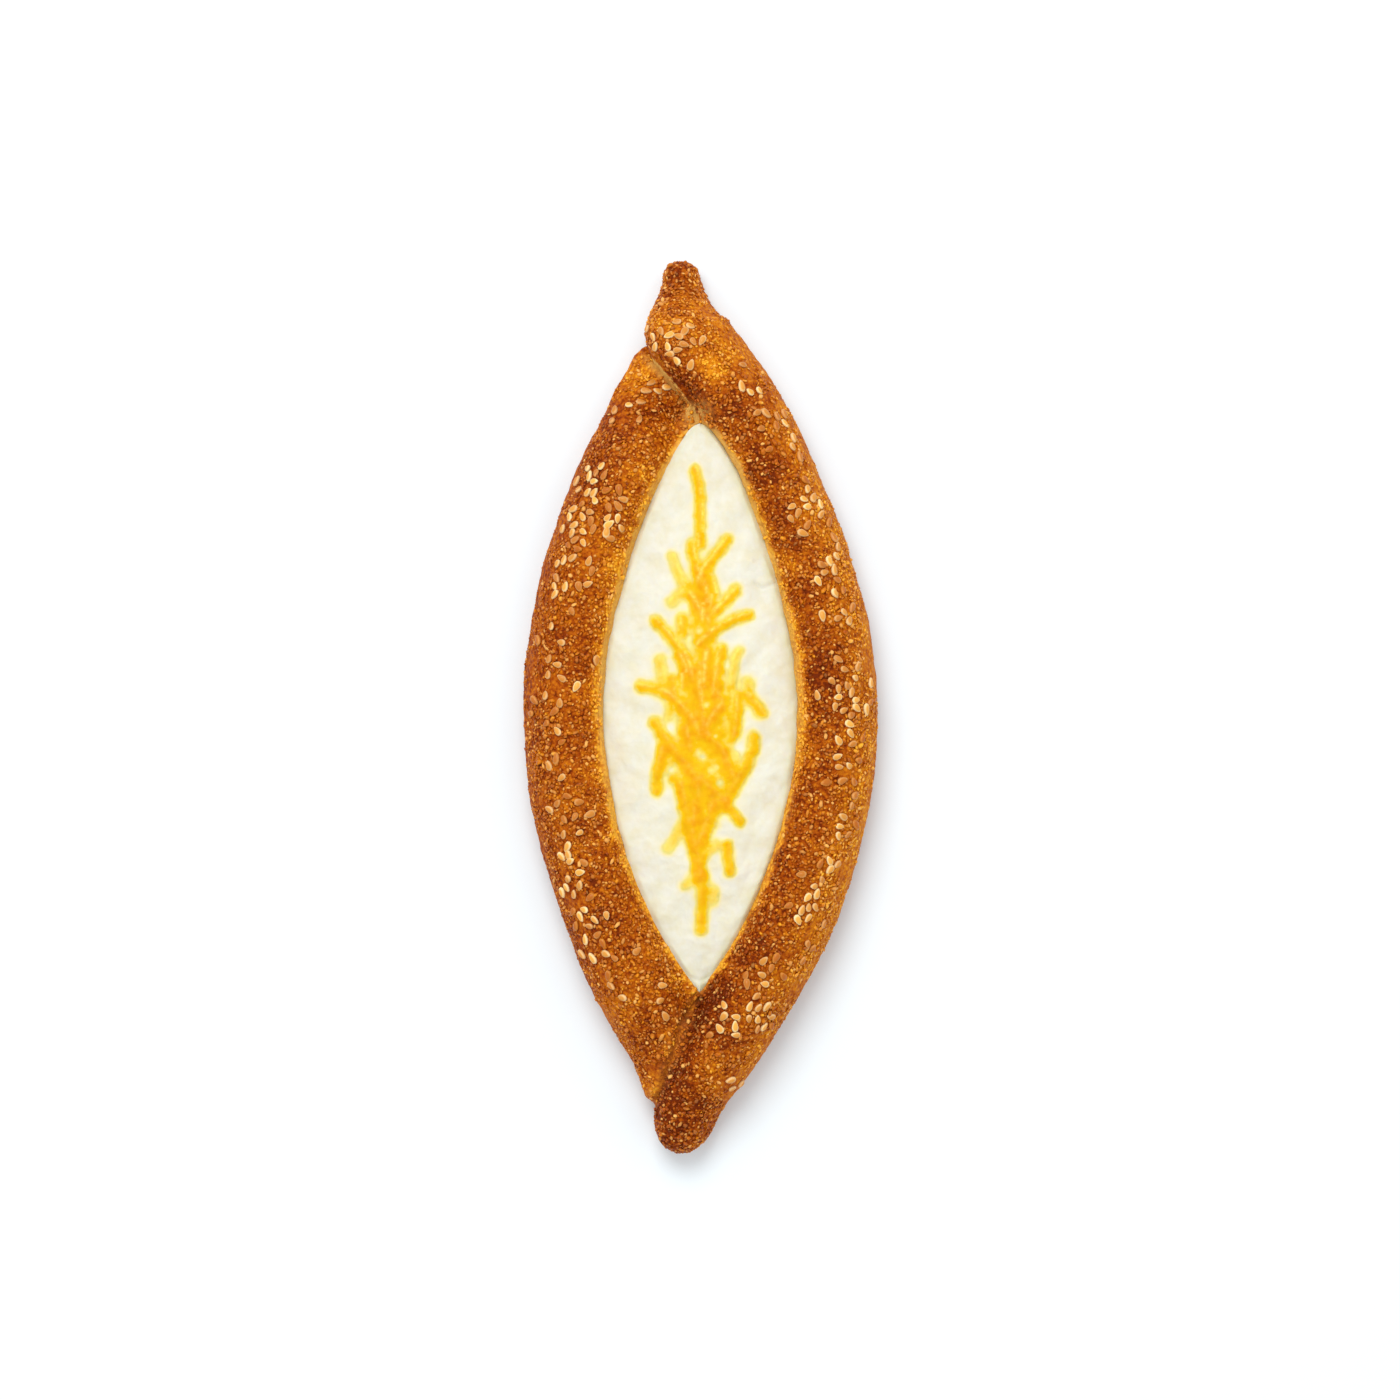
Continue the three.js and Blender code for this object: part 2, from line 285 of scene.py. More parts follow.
# share across the roll that lies on top, and how far overRoll stands above underRoll
def rollShare(x, y):
    y = np.clip(y, -dough["lastY"], dough["lastY"])
    over, under = acrossShare(overRoll, x, y), acrossShare(underRoll, x, y)
    overTop, underTop = rollHeight(overRoll, x, y), rollHeight(underRoll, x, y)
    stands = np.where(np.maximum(overTop, underTop) > 0, overTop - underTop, np.abs(under) - np.abs(over))
    return np.where(stands > 0, over, under), stands


def makeCrust():
    crust = rollPiece("sesameCrust", overRoll)
    under = rollPiece("underRoll", underRoll)
    base = ovalBlock("doughFloor", dough["floorHalf"], -dough["sink"], dough["floorTop"])
    collar = ovalBlock("doughCollar", dough["collarHalf"], 0, dough["collarTop"])
    hollow = lensPiece("hollow", lipHalf, *dough["opening"]["ends"], dough["floorTop"], dough["hollowTop"])
    for tool, way in ((under, "UNION"), (base, "UNION"), (collar, "UNION"), (hollow, "DIFFERENCE")):
        cut = crust.modifiers.new(tool.name, "BOOLEAN")
        cut.object, cut.operation, cut.solver = tool, way, "EXACT"
    remesh = crust.modifiers.new("evenFaces", "REMESH")
    remesh.mode, remesh.voxel_size = "VOXEL", dough["voxel"] * mm
    applyModifiers(crust)
    for tool in (under, base, collar, hollow):
        dropObject(tool)

    bm = bmesh.new()
    bm.from_mesh(crust.data)
    rounds, factor = dough["smoothing"]
    for _ in range(rounds):
        bmesh.ops.smooth_vert(
            bm, verts=bm.verts[:], factor=factor, use_axis_x=True, use_axis_y=True, use_axis_z=True
        )
    bm.normal_update()
    plan = np.array([vert.co for vert in bm.verts]) / mm
    depth, wide = dough["crease"]
    grooves = depth * bell(creaseDistance(plan[:, 0], plan[:, 1]) / wide)
    for vert, groove in zip(bm.verts, grooves):
        place = vert.co / mm
        rise = sum(height * noise.noise(place / size) for size, height in dough["relief"])
        rise -= groove * float(smoothStep(vert.normal.z, *dough["creaseFacing"]))
        vert.co += vert.normal * rise * mm * float(smoothStep(place.z, *dough["reliefFrom"]))
        vert.co.z = max(vert.co.z, 0)
    bm.to_mesh(crust.data)
    bm.free()
    thin = crust.modifiers.new("fewerFaces", "DECIMATE")  # mostly from the flat underside
    thin.ratio = dough["kept"]
    applyModifiers(crust)
    shadeSmooth(crust.data)
    print("crust:", len(crust.data.polygons), "faces")
    return crust


# Browning. Share across the roll -> how dark the crust is baked, then patches on top.
baking = {
    "share": (-0.95, -0.7, -0.35, 0.1, 0.5, 0.9, 1.3),
    "overDark": (0.52, 0.64, 0.68, 0.55, 0.39, 0.34, 0.4),
    "underDark": (0.42, 0.5, 0.56, 0.6, 0.63, 0.64, 0.63),
    "endDark": (0.48, 0.63, 0.65, 0.57, 0.48, 0.44, 0.44),
    "ends": (74, 84),
    "low": {"height": (3, 12), "dark": 0.46, "share": 0.7},  # the foot of the flanks
    # share across the roll, how thick the crumbs lie there
    "crumbs": ((-1, -0.1, 0.3, 0.75, 1.1), (0.85, 0.85, 0.65, 0.48, 0.36)),
    "crumbWander": ((9, 0.6), (4, 0.4)), "crumbOffPale": 0.5,
    "lip": {
        "dark": 0.02, "from": 0.6, "wander": (3.2, 1.5), "along": (-60, -25, -5, 15, 40, 70),
        "left": (2.2, 2.6, 5, 5, 3.6, 2.8), "right": (1.1, 1.5, 4.4, 4.2, 3.5, 3.2),
    },
    # x, y, reach, how much darker or paler
    "patches": (
        (-5, 121, 8, 0.15), (-5, 112, 6, -0.02), (9, 99, 6, -0.1), (-5, -118, 13, 0.27), (-8, -93, 4, -0.12),
        (-11.5, -106, 4, -0.2), (-7, 104, 8, -0.18), (1.4, 95.8, 2.8, -0.3), (4.8, 93, 3, -0.42),
        (-13, 105, 5, -0.18), (-16, 96, 6, -0.17), (-24, 84, 6, 0.26), (12, 84, 7, 0.2), (21, 66, 8, 0.15),
        (33, 8, 9, 0.29), (32, -24, 9, 0.02), (27, 40, 8, 0.1), (-30, 16, 7, 0.11), (-31, -6, 6, 0.1),
        (-14, 76, 8, 0.08), (-18, 66, 5, -0.26), (-26, 65, 6, 0.22), (24.5, 40, 4, -0.4),
        (-23, 40, 3.5, -0.28), (23.5, -40, 3.5, 0.1), (-26, -40, 8, 0.08), (-22, -58, 9, 0.1),
        (-15, -94, 9, 0.2), (2, -96, 5, -0.18), (8, -93, 6, 0.22), (2, -104, 7, -0.03), (-38, 40, 8, -0.05),
        (30, 0, 4, -0.2), (29.5, -12, 3, -0.15), (11, -68, 7, 0.18), (5, -79, 5, 0.2), (-1, -88, 5, 0.15),
        (-6.5, -88.5, 2.5, -0.14), (-9.5, -96.5, 2.8, -0.16),
    ),
    "creases": (
        ((-15.4, 101), (-10.1, 94.3), (-4.1, 88.6), (-2.4, 84.8), (-1, 80)),
        ((-0.3, -80.9), (-5.2, -88.4), (-7.8, -95.9), (-10.5, -104), (-12.7, -110)),
    ),
    "creasePale": ((0.8, 3.6), 0.95, 0.1), "creaseBakeAndShade": (4.5, 0.3, 0.5),  # reach, at the top, at the bottom; the darkening beside the crease is partly darker baking, partly painted shade of the crease
    "creaseLow": (6, 13), "creaseStand": 1.5, "creaseWander": (3, 1.2),
    "apex": (-0.8, 81.2, 3.1),
    "rim": {
        "reach": (0.3, 1.9), "wander": (2.5, 0.8), "along": (-60, -20, 0, 30, 60, 76),
        "left": (0.15, 0.35, 0.65, 0.65, 0.6, 0.6), "right": (0.15, 0.2, 0.45, 0.6, 0.75, 0.8),
    },
}


# distance from a line in plan, and how far to its upper side
def lineOffset(x, y, points):
    best, side = np.full(np.shape(x), farOff), np.zeros(np.shape(x))
    for (ax, ay), (bx, by) in zip(points, points[1:]):
        runX, runY = bx - ax, by - ay
        lengthSquared = runX**2 + runY**2
        along = np.clip(((x - ax) * runX + (y - ay) * runY) / lengthSquared, 0, 1)
        offX, offY = x - ax - along * runX, y - ay - along * runY
        away = np.hypot(offX, offY)
        upper = (offY * runX - offX * runY) / math.sqrt(lengthSquared)
        side = np.where(away < best, upper if runX > 0 else -upper, side)
        best = np.minimum(best, away)
    return best, side


def lineDistance(x, y, points):
    return lineOffset(x, y, points)[0]


def creaseDistance(x, y):
    return np.minimum(*(lineDistance(x, y, line) for line in baking["creases"]))


def wander(place, size, height):
    return height * np.array([noise.noise(Vector(p) / (size * mm)) for p in place])


def openingDistance(x, y):
    low, high = dough["opening"]["ends"]
    inY = np.clip(y, low, high)
    beside = np.abs(x) - openingHalf(inY, x)
    return np.hypot(np.maximum(beside, 0), y - inY) + np.minimum(beside, 0)


# a value along the opening, read from the table of the side that x lies on
def leftRight(table, x, y):
    left, right = (np.interp(y, table["along"], table[side]) for side in ("left", "right"))
    return np.where(x < 0, left, right)


def browningAndShade(place):
    x, y, z = place.T / mm
    share, stands = rollShare(x, y)
    onTop = stands > 0
    keys = ("overDark", "underDark", "endDark")
    over, under, end = (np.interp(share, baking["share"], baking[key]) for key in keys)
    towardsEnd = smoothStep(np.abs(y), *baking["ends"])
    dark = np.where(onTop, over, under)
    dark = dark + (end - dark) * towardsEnd
    # darker beside the crease on the top roll: partly darker baking, partly painted shade of the crease
    reach, top, bottom = baking["creaseBakeAndShade"]
    dark = dark + np.where(y > 0, top, bottom) * bell(creaseDistance(x, y) / reach) * onTop
    for px, py, reach, change in baking["patches"]:
        dark = dark + change * np.exp(-((x - px) ** 2 + (y - py) ** 2) / reach**2)
    low = baking["low"]
    foot = 1 - smoothStep(z, *low["height"])
    dark = dark + (low["dark"] - dark) * foot * low["share"]
    lip = baking["lip"]
    reach = leftRight(lip, x, y)
    beside = openingDistance(x, y) + wander(place, *lip["wander"])
    golden = (1 - smoothStep((beside - lip["from"]) / (reach - lip["from"]), 0, 1)) * (1 - towardsEnd)
    return np.clip(dark + (lip["dark"] - dark) * golden, 0, 1)


def paleDough(place):
    x, y, z = place.T / mm
    _, stands = rollShare(x, y)
    near = creaseDistance(x, y) + wander(place, *baking["creaseWander"])
    reach, top, bottom = baking["creasePale"]
    pale = (1 - smoothStep(near, *reach)) * (1 - smoothStep(stands, 0, baking["creaseStand"]))
    pale = pale * np.where(y > 0, top, bottom) * smoothStep(z, *baking["creaseLow"])
    ax, ay, reach = baking["apex"]
    pale = np.maximum(pale, np.exp(-((x - ax) ** 2 + (y - ay) ** 2) / reach**2))
    rim = baking["rim"]
    edge = openingDistance(x, y) + wander(place, *rim["wander"])
    return np.maximum(pale, leftRight(rim, x, y) * (1 - smoothStep(edge, *rim["reach"])))


def crumbShare(place):
    x, y, _ = place.T / mm
    share, _ = rollShare(x, y)
    thick = np.interp(share, *baking["crumbs"])
    for size, height in baking["crumbWander"]:
        thick = thick + wander(place, size, height)
    return np.clip(thick - baking["crumbOffPale"] * paleDough(place), 0, 1)


crust = makeCrust()
crustPlaces = coordinates(crust.data)
# the browning attribute also holds the painted shade beside the creases
for name, shareAt in (("bakeAndShade", browningAndShade), ("pale", paleDough), ("crumb", crumbShare)):
    setAttribute(crust.data, name, shareAt(crustPlaces))
crustTree = BVHTree.FromPolygons(
    [Vector(place) for place in crustPlaces], [tuple(face.vertices) for face in crust.data.polygons]
)
print("crust browned")

# Sesame: the seeds that stand out, laid at listed places, then toasted ones and fine grains over the whole
# crust.
seeds = {
    "length": 3.05, "width": 1.84, "thickness": 1.45, "taper": 0.36, "flat": 0.95, "sunk": 0.17,
    "segments": (10, 6), "size": (0.86, 1.1), "stretch": (0.9, 1.12), "tip": 0.14, "cell": 3,
    "clear": 1.5, "steepest": 0.12, "lowest": 10, "eye": (0, 2.1, 1611), "level": 11,
    "singles": {
        "count": 45, "tries": (2500, 7), "tone": (0, 0.3, 0), "clear": 2.4,
        "lowest": 9, "steepest": 0.45, "offLip": 9, "lastY": 90,
    },
    "tones": {"pale": (0.45, 1.0), "golden": (0.15, 0.55), "toasted": (0.0, 0.15)},
    # x, y and how the length turns from +X, in degrees
    "pale": (
        (-12.7, 103.7, 105), (-12.2, 101.2, 65), (-8.4, 104.2, 25), (-8.8, 101.2, 105), (-8.2, 99.2, 5),
        (-6.2, 97.2, 135), (-2.5, 96, 70), (-9.4, 89.4, -10), (-12, 88.4, -15), (-19.7, 84.4, -25),
        (-31.1, 66.7, -20), (-27.3, 67.4, 55), (-30.6, 64.6, 70), (-29.3, 63.2, 0), (-31.1, 60.2, 40),
        (-29.4, 60, 45), (-29.3, 57.8, 115), (-35.1, 55.4, 20), (-36.1, 53.3, 110), (-32.6, 53.3, 120),
        (-25.8, 53.1, 45), (-23.2, 52.9, 85), (-25.5, 51.3, 35), (-22.3, 50.3, 130), (-26.2, 49.2, 80),
        (-35, 50.9, 20), (-38.1, 49.9, 60), (-35.5, 48.6, 60), (-32.4, 49.1, 150), (-32.5, 46, 120),
        (-35.3, 41.9, 25), (-37.7, 41.2, 85), (-39.6, 40.2, 75), (-40.4, 33.9, 130), (-37.4, 33.8, 75),
        (-40.3, 31.6, 50), (-38.6, 18.2, -15), (-34.6, 5.9, 60), (-43, 3.4, 100), (-39.7, -6.6, 130),
        (-38.6, -19.6, 40), (-41.8, -28.4, -25), (-33.7, -35, 25), (-36.8, -39, 60), (-36.6, -41, 100),
        (-38.4, -41.6, 125), (-36, -42.9, 25), (-33.3, -46.1, 10), (-37, -50.3, 125), (-38.2, -51.6, 105),
        (-32.1, -56.5, -5), (-33.2, -58.5, 115), (-29.2, -59.4, -40), (-26.1, -58.2, 105),
        (-31.7, -64.8, 90), (-32.7, -69, -35), (-29.7, -70.1, 120), (-26, -68.9, -10), (-21.5, -81, 0),
        (11.4, 89.8, 100), (13.8, 88.2, -35), (16.3, 88.5, -40), (23.4, 79.4, 130), (25.8, 75.3, 100),
        (25.6, 72.9, 120), (28.9, 58.2, -20), (31.4, 58.6, 65), (29.7, 56.2, 5), (25.6, 56.2, 30),
        (29.8, 60.9, 70), (33.3, 56.8, 110), (37.8, 42.2, 135), (35.9, 40.9, 105), (37.2, 38.5, 95),
        (33, 35.4, 120), (37.4, 31.8, 140), (40.1, 26.5, 140), (41.5, 24.2, 60), (34.2, 25.6, 100),
        (43.1, 8.3, -15), (33, 3.5, 100), (38.5, 2.9, 10), (42.1, 4.2, 65), (47.4, 6.9, 85), (43.3, 2.1, 0),
        (43.5, -0.1, -40), (46.2, -0.6, 100), (41.6, -4.6, -30), (41.9, -7.2, 125), (38.6, -9.2, 125),
        (38.4, -13.7, 25), (41.4, -16.2, 140), (39.7, -30.5, -25), (38.9, -33.2, -10), (38.4, -35.9, 100),
        (36, -42.8, 120), (36.1, -45.3, 40), (38.1, -43.9, 25), (31.7, -50, 0), (32.5, -52.1, 75),
        (29.9, -53.2, 50), (30.2, -55.9, 80), (32, -55.9, 120), (28.3, -56.6, 65), (30, -58.9, 50),
        (27.2, -59.4, 120), (17.2, -74.7, -30), (17.9, -77.3, -15), (6.9, -83.3, 120), (13.8, -83.5, 65),
        (16.2, -83.9, 60), (18.4, -83.6, 60), (6.7, -86.5, 50), (9.9, -86.6, -10), (13.5, -87, 95),
        (15.9, -87.1, 95), (17.6, -89.2, 45), (5.5, -89.8, 125), (9.7, -89.1, 90), (9.8, -91.5, -10),
        (8.3, -104.1, 10), (8.8, -106.3, 5),
    ),
    "golden": (
        (-6.4, 107.7, 5), (-10.6, 105.2, 120), (-14.4, 106, 60), (-5.9, 103.9, -20), (-4.4, 105, 60),
        (-2.8, 106.5, -10), (-4.4, 101.7, -15), (-2, 102.4, 120), (0.5, 102.6, 60), (-6.1, 100.2, 10),
        (-15, 88.4, -10), (-16.5, 85.2, -5), (-23.6, 83.1, 100), (-13.7, 90.6, 30), (-28.8, 65.5, 95),
        (-34.1, 63.3, 60), (-33.6, 60.9, 75), (-21.6, 58.3, -15), (-23, 56.5, 125), (-30.5, 54.6, -15),
        (-29.8, 49.8, 75), (-34.7, 46.9, 30), (-25.3, 47.4, -10), (-31, 41, 70), (-31.3, 34.6, 20),
        (-39.8, 36.2, 130), (-41.2, 22.8, 115), (-42, 13.6, 75), (-42.2, 9.2, 80), (-38.6, 8.2, -35),
        (-39.8, 12, -10), (-29.4, 13.2, 90), (-39.1, 1.3, 90), (-33.8, -26.4, 0), (-39.6, -26.8, 45),
        (-37.9, -35.4, 65), (-42, -16.3, 100), (-35, -30.6, 60), (-31, -29.9, 20), (-36.6, -47.9, 60),
        (-33.4, -49.6, 70), (-35, -52.2, 80), (-30.8, -61, 0), (-24.6, -77.8, -25), (-10.7, -77.8, 0),
        (-11.3, -81.9, 15), (-9.8, -86.2, 120), (11.6, 95.8, 10), (23.2, 82, 110), (21.2, 81.4, 120),
        (18.2, 82.2, 135), (15.6, 82.4, 30), (27.6, 70, 100), (27.3, 54.4, 65), (25.4, 52.8, 125),
        (33.5, 54, 50), (28.7, 48.8, -20), (38.2, 45, 100), (34.7, 37.7, 20), (38.4, 25, 15),
        (38.5, 13.5, 145), (40.2, 10.6, -15), (43.8, 11.5, 80), (36.9, 7.5, 130), (40.9, 6.2, 120),
        (38.6, 5.2, 90), (37.6, 0.3, 80), (40, -0.7, 20), (42.4, -10.2, 15), (38.8, -16.6, 0),
        (39.6, -20.4, 20), (42.1, -27.4, 95), (41, -35.4, 30), (33.9, -48.1, 115), (17.9, -70.9, 45),
        (29.8, -66.1, 110), (15.5, -80.8, 30), (19.6, -86.3, -25), (11.2, -105.1, 30),
    ),
    "toasted": (
        (-26.6, 65, 60), (-26, 60.7, 15), (-22.6, 60.8, 100), (-25.4, 55.9, 110), (-32.7, 56.8, 20),
        (-30.3, 52, 80), (-33.9, 44.3, 0), (-30.6, -53.1, 40), (-35.2, -57.1, 60), (-28.4, -63.5, 40),
        (-34.4, -61, 70), (29.9, 51.1, 60), (33.9, 39.8, -10), (42.1, -2.2, 20), (45.1, -8.7, 80),
        (24.8, -55.4, 20), (19.8, -72.9, 70), (13, -74.9, 70), (2.8, -91.6, 30),
    ),
}
grains = {
    "count": 9000, "tries": (120000, 11), "segments": (5, 3), "cell": 1.7, "spacing": 0.75,
    "scale": (0.5, 1.6, 0.7), "long": (0.48, 0.86), "wide": (0.38, 0.56), "high": (0.28, 0.44),
    "sunk": 0.2, "skew": 0.35, "tip": 0.4, "uneven": 0.11, "thick": (0.1, 0.8),
    "lowest": 3.5, "steepest": -0.2, "offCrease": 0.7, "offLip": 0.4, "offSeeds": 1.3,
    "steepBare": (0.4, (0, 0.5)), "lipBare": (6, 0.7, (0.1, 0.35)),  # the golden lip is smooth
    "outerFacing": (0, 0.7), "innerFacing": (-0.1, 0.5), "steepSize": 0.7, "steepSunk": 0.8,
}


def seedShape():
    bm = ballMesh(seeds["segments"])
    ball = np.array([vert.co for vert in bm.verts])
    wide = 1 - seeds["taper"] * ball[:, 1]
    ball[:, 2] = np.sign(ball[:, 2]) * np.abs(ball[:, 2]) ** seeds["flat"]
    places = ball * np.array([seeds["width"], seeds["length"], seeds["thickness"]]) / 2
    places[:, 0] *= wide
    placeVerts(bm, places * mm)
    shape = meshFrom("seedShape", bm)
    setAttribute(shape, "rim", np.hypot(ball[:, 0], ball[:, 1]))
    return shape


# local +Z on the crust's normal, turned about it, tipped a little, then sunk
def lieOn(place, normal, turn, tip, lift, size):
    lean = Vector((0, 0, 1)).rotation_difference(normal).to_matrix().to_4x4()
    spin = Matrix.Rotation(turn, 4, "Z") @ Matrix.Rotation(tip, 4, "X")
    return Matrix.Translation(place + normal * lift * mm) @ lean @ spin @ Matrix.Diagonal((*size, 1))


# one joined mesh from a small shape and a list of {"at": matrix, attribute: value}
def strew(name, shape, spots):
    keys = [key for key in spots[0] if key != "at"]
    for key in keys:
        setAttribute(shape, key, [0] * len(shape.vertices))
    bm = bmesh.new()
    for spot in spots:
        one = shape.copy()
        one.transform(spot["at"])
        for key in keys:
            one.attributes[key].data.foreach_set("value", [spot[key]] * len(one.vertices))
        bm.from_mesh(one)
        bpy.data.meshes.remove(one)
    bpy.data.meshes.remove(shape)
    piece = objectFrom(name, bm)
    shadeSmooth(piece.data)
    print(name + ":", len(spots), "of them,", len(piece.data.polygons), "faces")
    return piece


class SpotGrid:
    def __init__(self, cell):
        self.cell, self.cells = cell, {}

    def key(self, place):
        return tuple(int(math.floor(c / self.cell)) for c in place)

    def near(self, place, reach):
        around = itertools.product(*((c - 1, c, c + 1) for c in self.key(place)))
        return any((place - other).length < reach for key in around for other in self.cells.get(key, ()))

    def add(self, place):
        self.cells.setdefault(self.key(place), []).append(place)


# where the line of sight from straight above, through a place at the level of the outline, meets the crust
def crustBelow(x, y):
    eye = Vector(seeds["eye"]) * mm
    sight = (Vector((x, y, seeds["level"])) * mm - eye).normalized()
    place, normal, _, _ = crustTree.ray_cast(eye, sight)
    if place is None or place.z < seeds["lowest"] * mm or normal.z < seeds["steepest"]:
        return None
    return place, normal


# even random points over the whole crust, and the normals there
def crustPoints(count, seed):
    mesh = crust.data
    mesh.calc_loop_triangles()
    corners = np.zeros(len(mesh.loop_triangles) * 3, int)
    mesh.loop_triangles.foreach_get("vertices", corners)
    corner = crustPlaces[corners.reshape(-1, 3)]
    normal = np.cross(corner[:, 1] - corner[:, 0], corner[:, 2] - corner[:, 0])
    area = np.linalg.norm(normal, axis=1)
    rng = np.random.default_rng(seed)
    chosen = rng.choice(len(area), size=count, p=area / area.sum())
    a, b = np.sqrt(rng.random(count)), rng.random(count)
    weight = np.stack([1 - a, a * (1 - b), a * b], 1)
    return (corner[chosen] * weight[:, :, None]).sum(1), normal[chosen] / area[chosen][:, None]


def makeSeeds():
    taken = SpotGrid(seeds["cell"] * mm)
    spots = []
    lift = seeds["thickness"] * (0.5 - seeds["sunk"])

    def lay(place, normal, tone, turn):
        taken.add(place)
        size = draw.uniform(*seeds["size"])
        long = size * draw.uniform(*seeds["stretch"])
        turn = turn - math.pi / 2 + draw.choice((0, math.pi))
        at = lieOn(place, normal, turn, draw.gauss(0, seeds["tip"]), lift, (size, long, size))
        spots.append({"at": at, "tone": tone})

    for kind, tones in seeds["tones"].items():
        for x, y, turn in seeds[kind]:
            found = crustBelow(x, y)
            if found and not taken.near(found[0], seeds["clear"] * mm):
                lay(*found, draw.uniform(*tones), math.radians(turn))
    single = seeds["singles"]
    places, normals = crustPoints(*single["tries"])
    laid = 0
    for place, normal in zip(places, normals):
        place, normal = Vector(place), Vector(normal)
        edge = openingDistance(place.x / mm, place.y / mm)
        flank = place.z < single["lowest"] * mm or normal.z < single["steepest"]
        if laid == single["count"] or flank or edge < single["offLip"] or abs(place.y) > single["lastY"] * mm:
            continue
        if not taken.near(place, single["clear"] * mm):
            lay(place, normal, draw.triangular(*single["tone"]), draw.uniform(0, math.pi))
            laid += 1
    return strew("sesameSeeds", seedShape(), spots), taken


def makeGrains(seedSpots):
    taken = SpotGrid(grains["cell"] * mm)
    spots = []
    places, normals = crustPoints(*grains["tries"])
    x, y, _ = places.T / mm
    edges = np.where(creaseDistance(x, y) < grains["offCrease"], 0, openingDistance(x, y))
    bakesAndShade, crumbs = browningAndShade(places), crumbShare(places)
    shares, _ = rollShare(x, y)
    steepBare, steepFrom = grains["steepBare"]
    lipReach, lipBare, lipBake = grains["lipBare"]
    for place, normal, edge, bakeAndShade, crumb, share in zip(places, normals, edges, bakesAndShade, crumbs, shares):
        if len(spots) == grains["count"]:
            break
        if place[2] < grains["lowest"] * mm or normal[2] < grains["steepest"] or edge < grains["offLip"]:
            continue
        place, normal = Vector(place), Vector(normal)
        scale = draw.triangular(*grains["scale"])
        bare = steepBare * float(1 - smoothStep(normal.z, *steepFrom))
        if edge < lipReach:
            bare += lipBare * float(1 - smoothStep(bakeAndShade, *lipBake))
        chance = smoothStep(crumb, *grains["thick"]) - bare
        near = taken.near(place, grains["spacing"] * scale * mm)
        near = near or seedSpots.near(place, grains["offSeeds"] * mm)
        if draw.random() > chance or near:
            continue
        taken.add(place)
        facing = grains["outerFacing"] if share > 0 else grains["innerFacing"]
        upright = float(smoothStep(normal.z, *facing))
        grown = scale * (grains["steepSize"] + (1 - grains["steepSize"]) * upright)
        size = [draw.uniform(*grains[way]) * grown for way in ("wide", "long", "high")]
        lift = size[2] * (1 - 2 * grains["sunk"] - grains["steepSunk"] * (1 - upright))
        skew = Matrix.Shear("XY", 4, (draw.gauss(0, grains["skew"]), draw.gauss(0, grains["skew"])))
        tip = draw.uniform(-grains["tip"], grains["tip"]) * upright
        at = lieOn(place, normal, draw.uniform(0, 2 * math.pi), tip, lift, size) @ skew
        spots.append({"at": at, "tone": draw.random(), "bakeAndShade": bakeAndShade + draw.gauss(0, grains["uneven"])})
    return strew("crustGrains", meshFrom("grainShape", ballMesh(grains["segments"], mm)), spots)


sesame, seedSpots = makeSeeds()
coating = makeGrains(seedSpots)

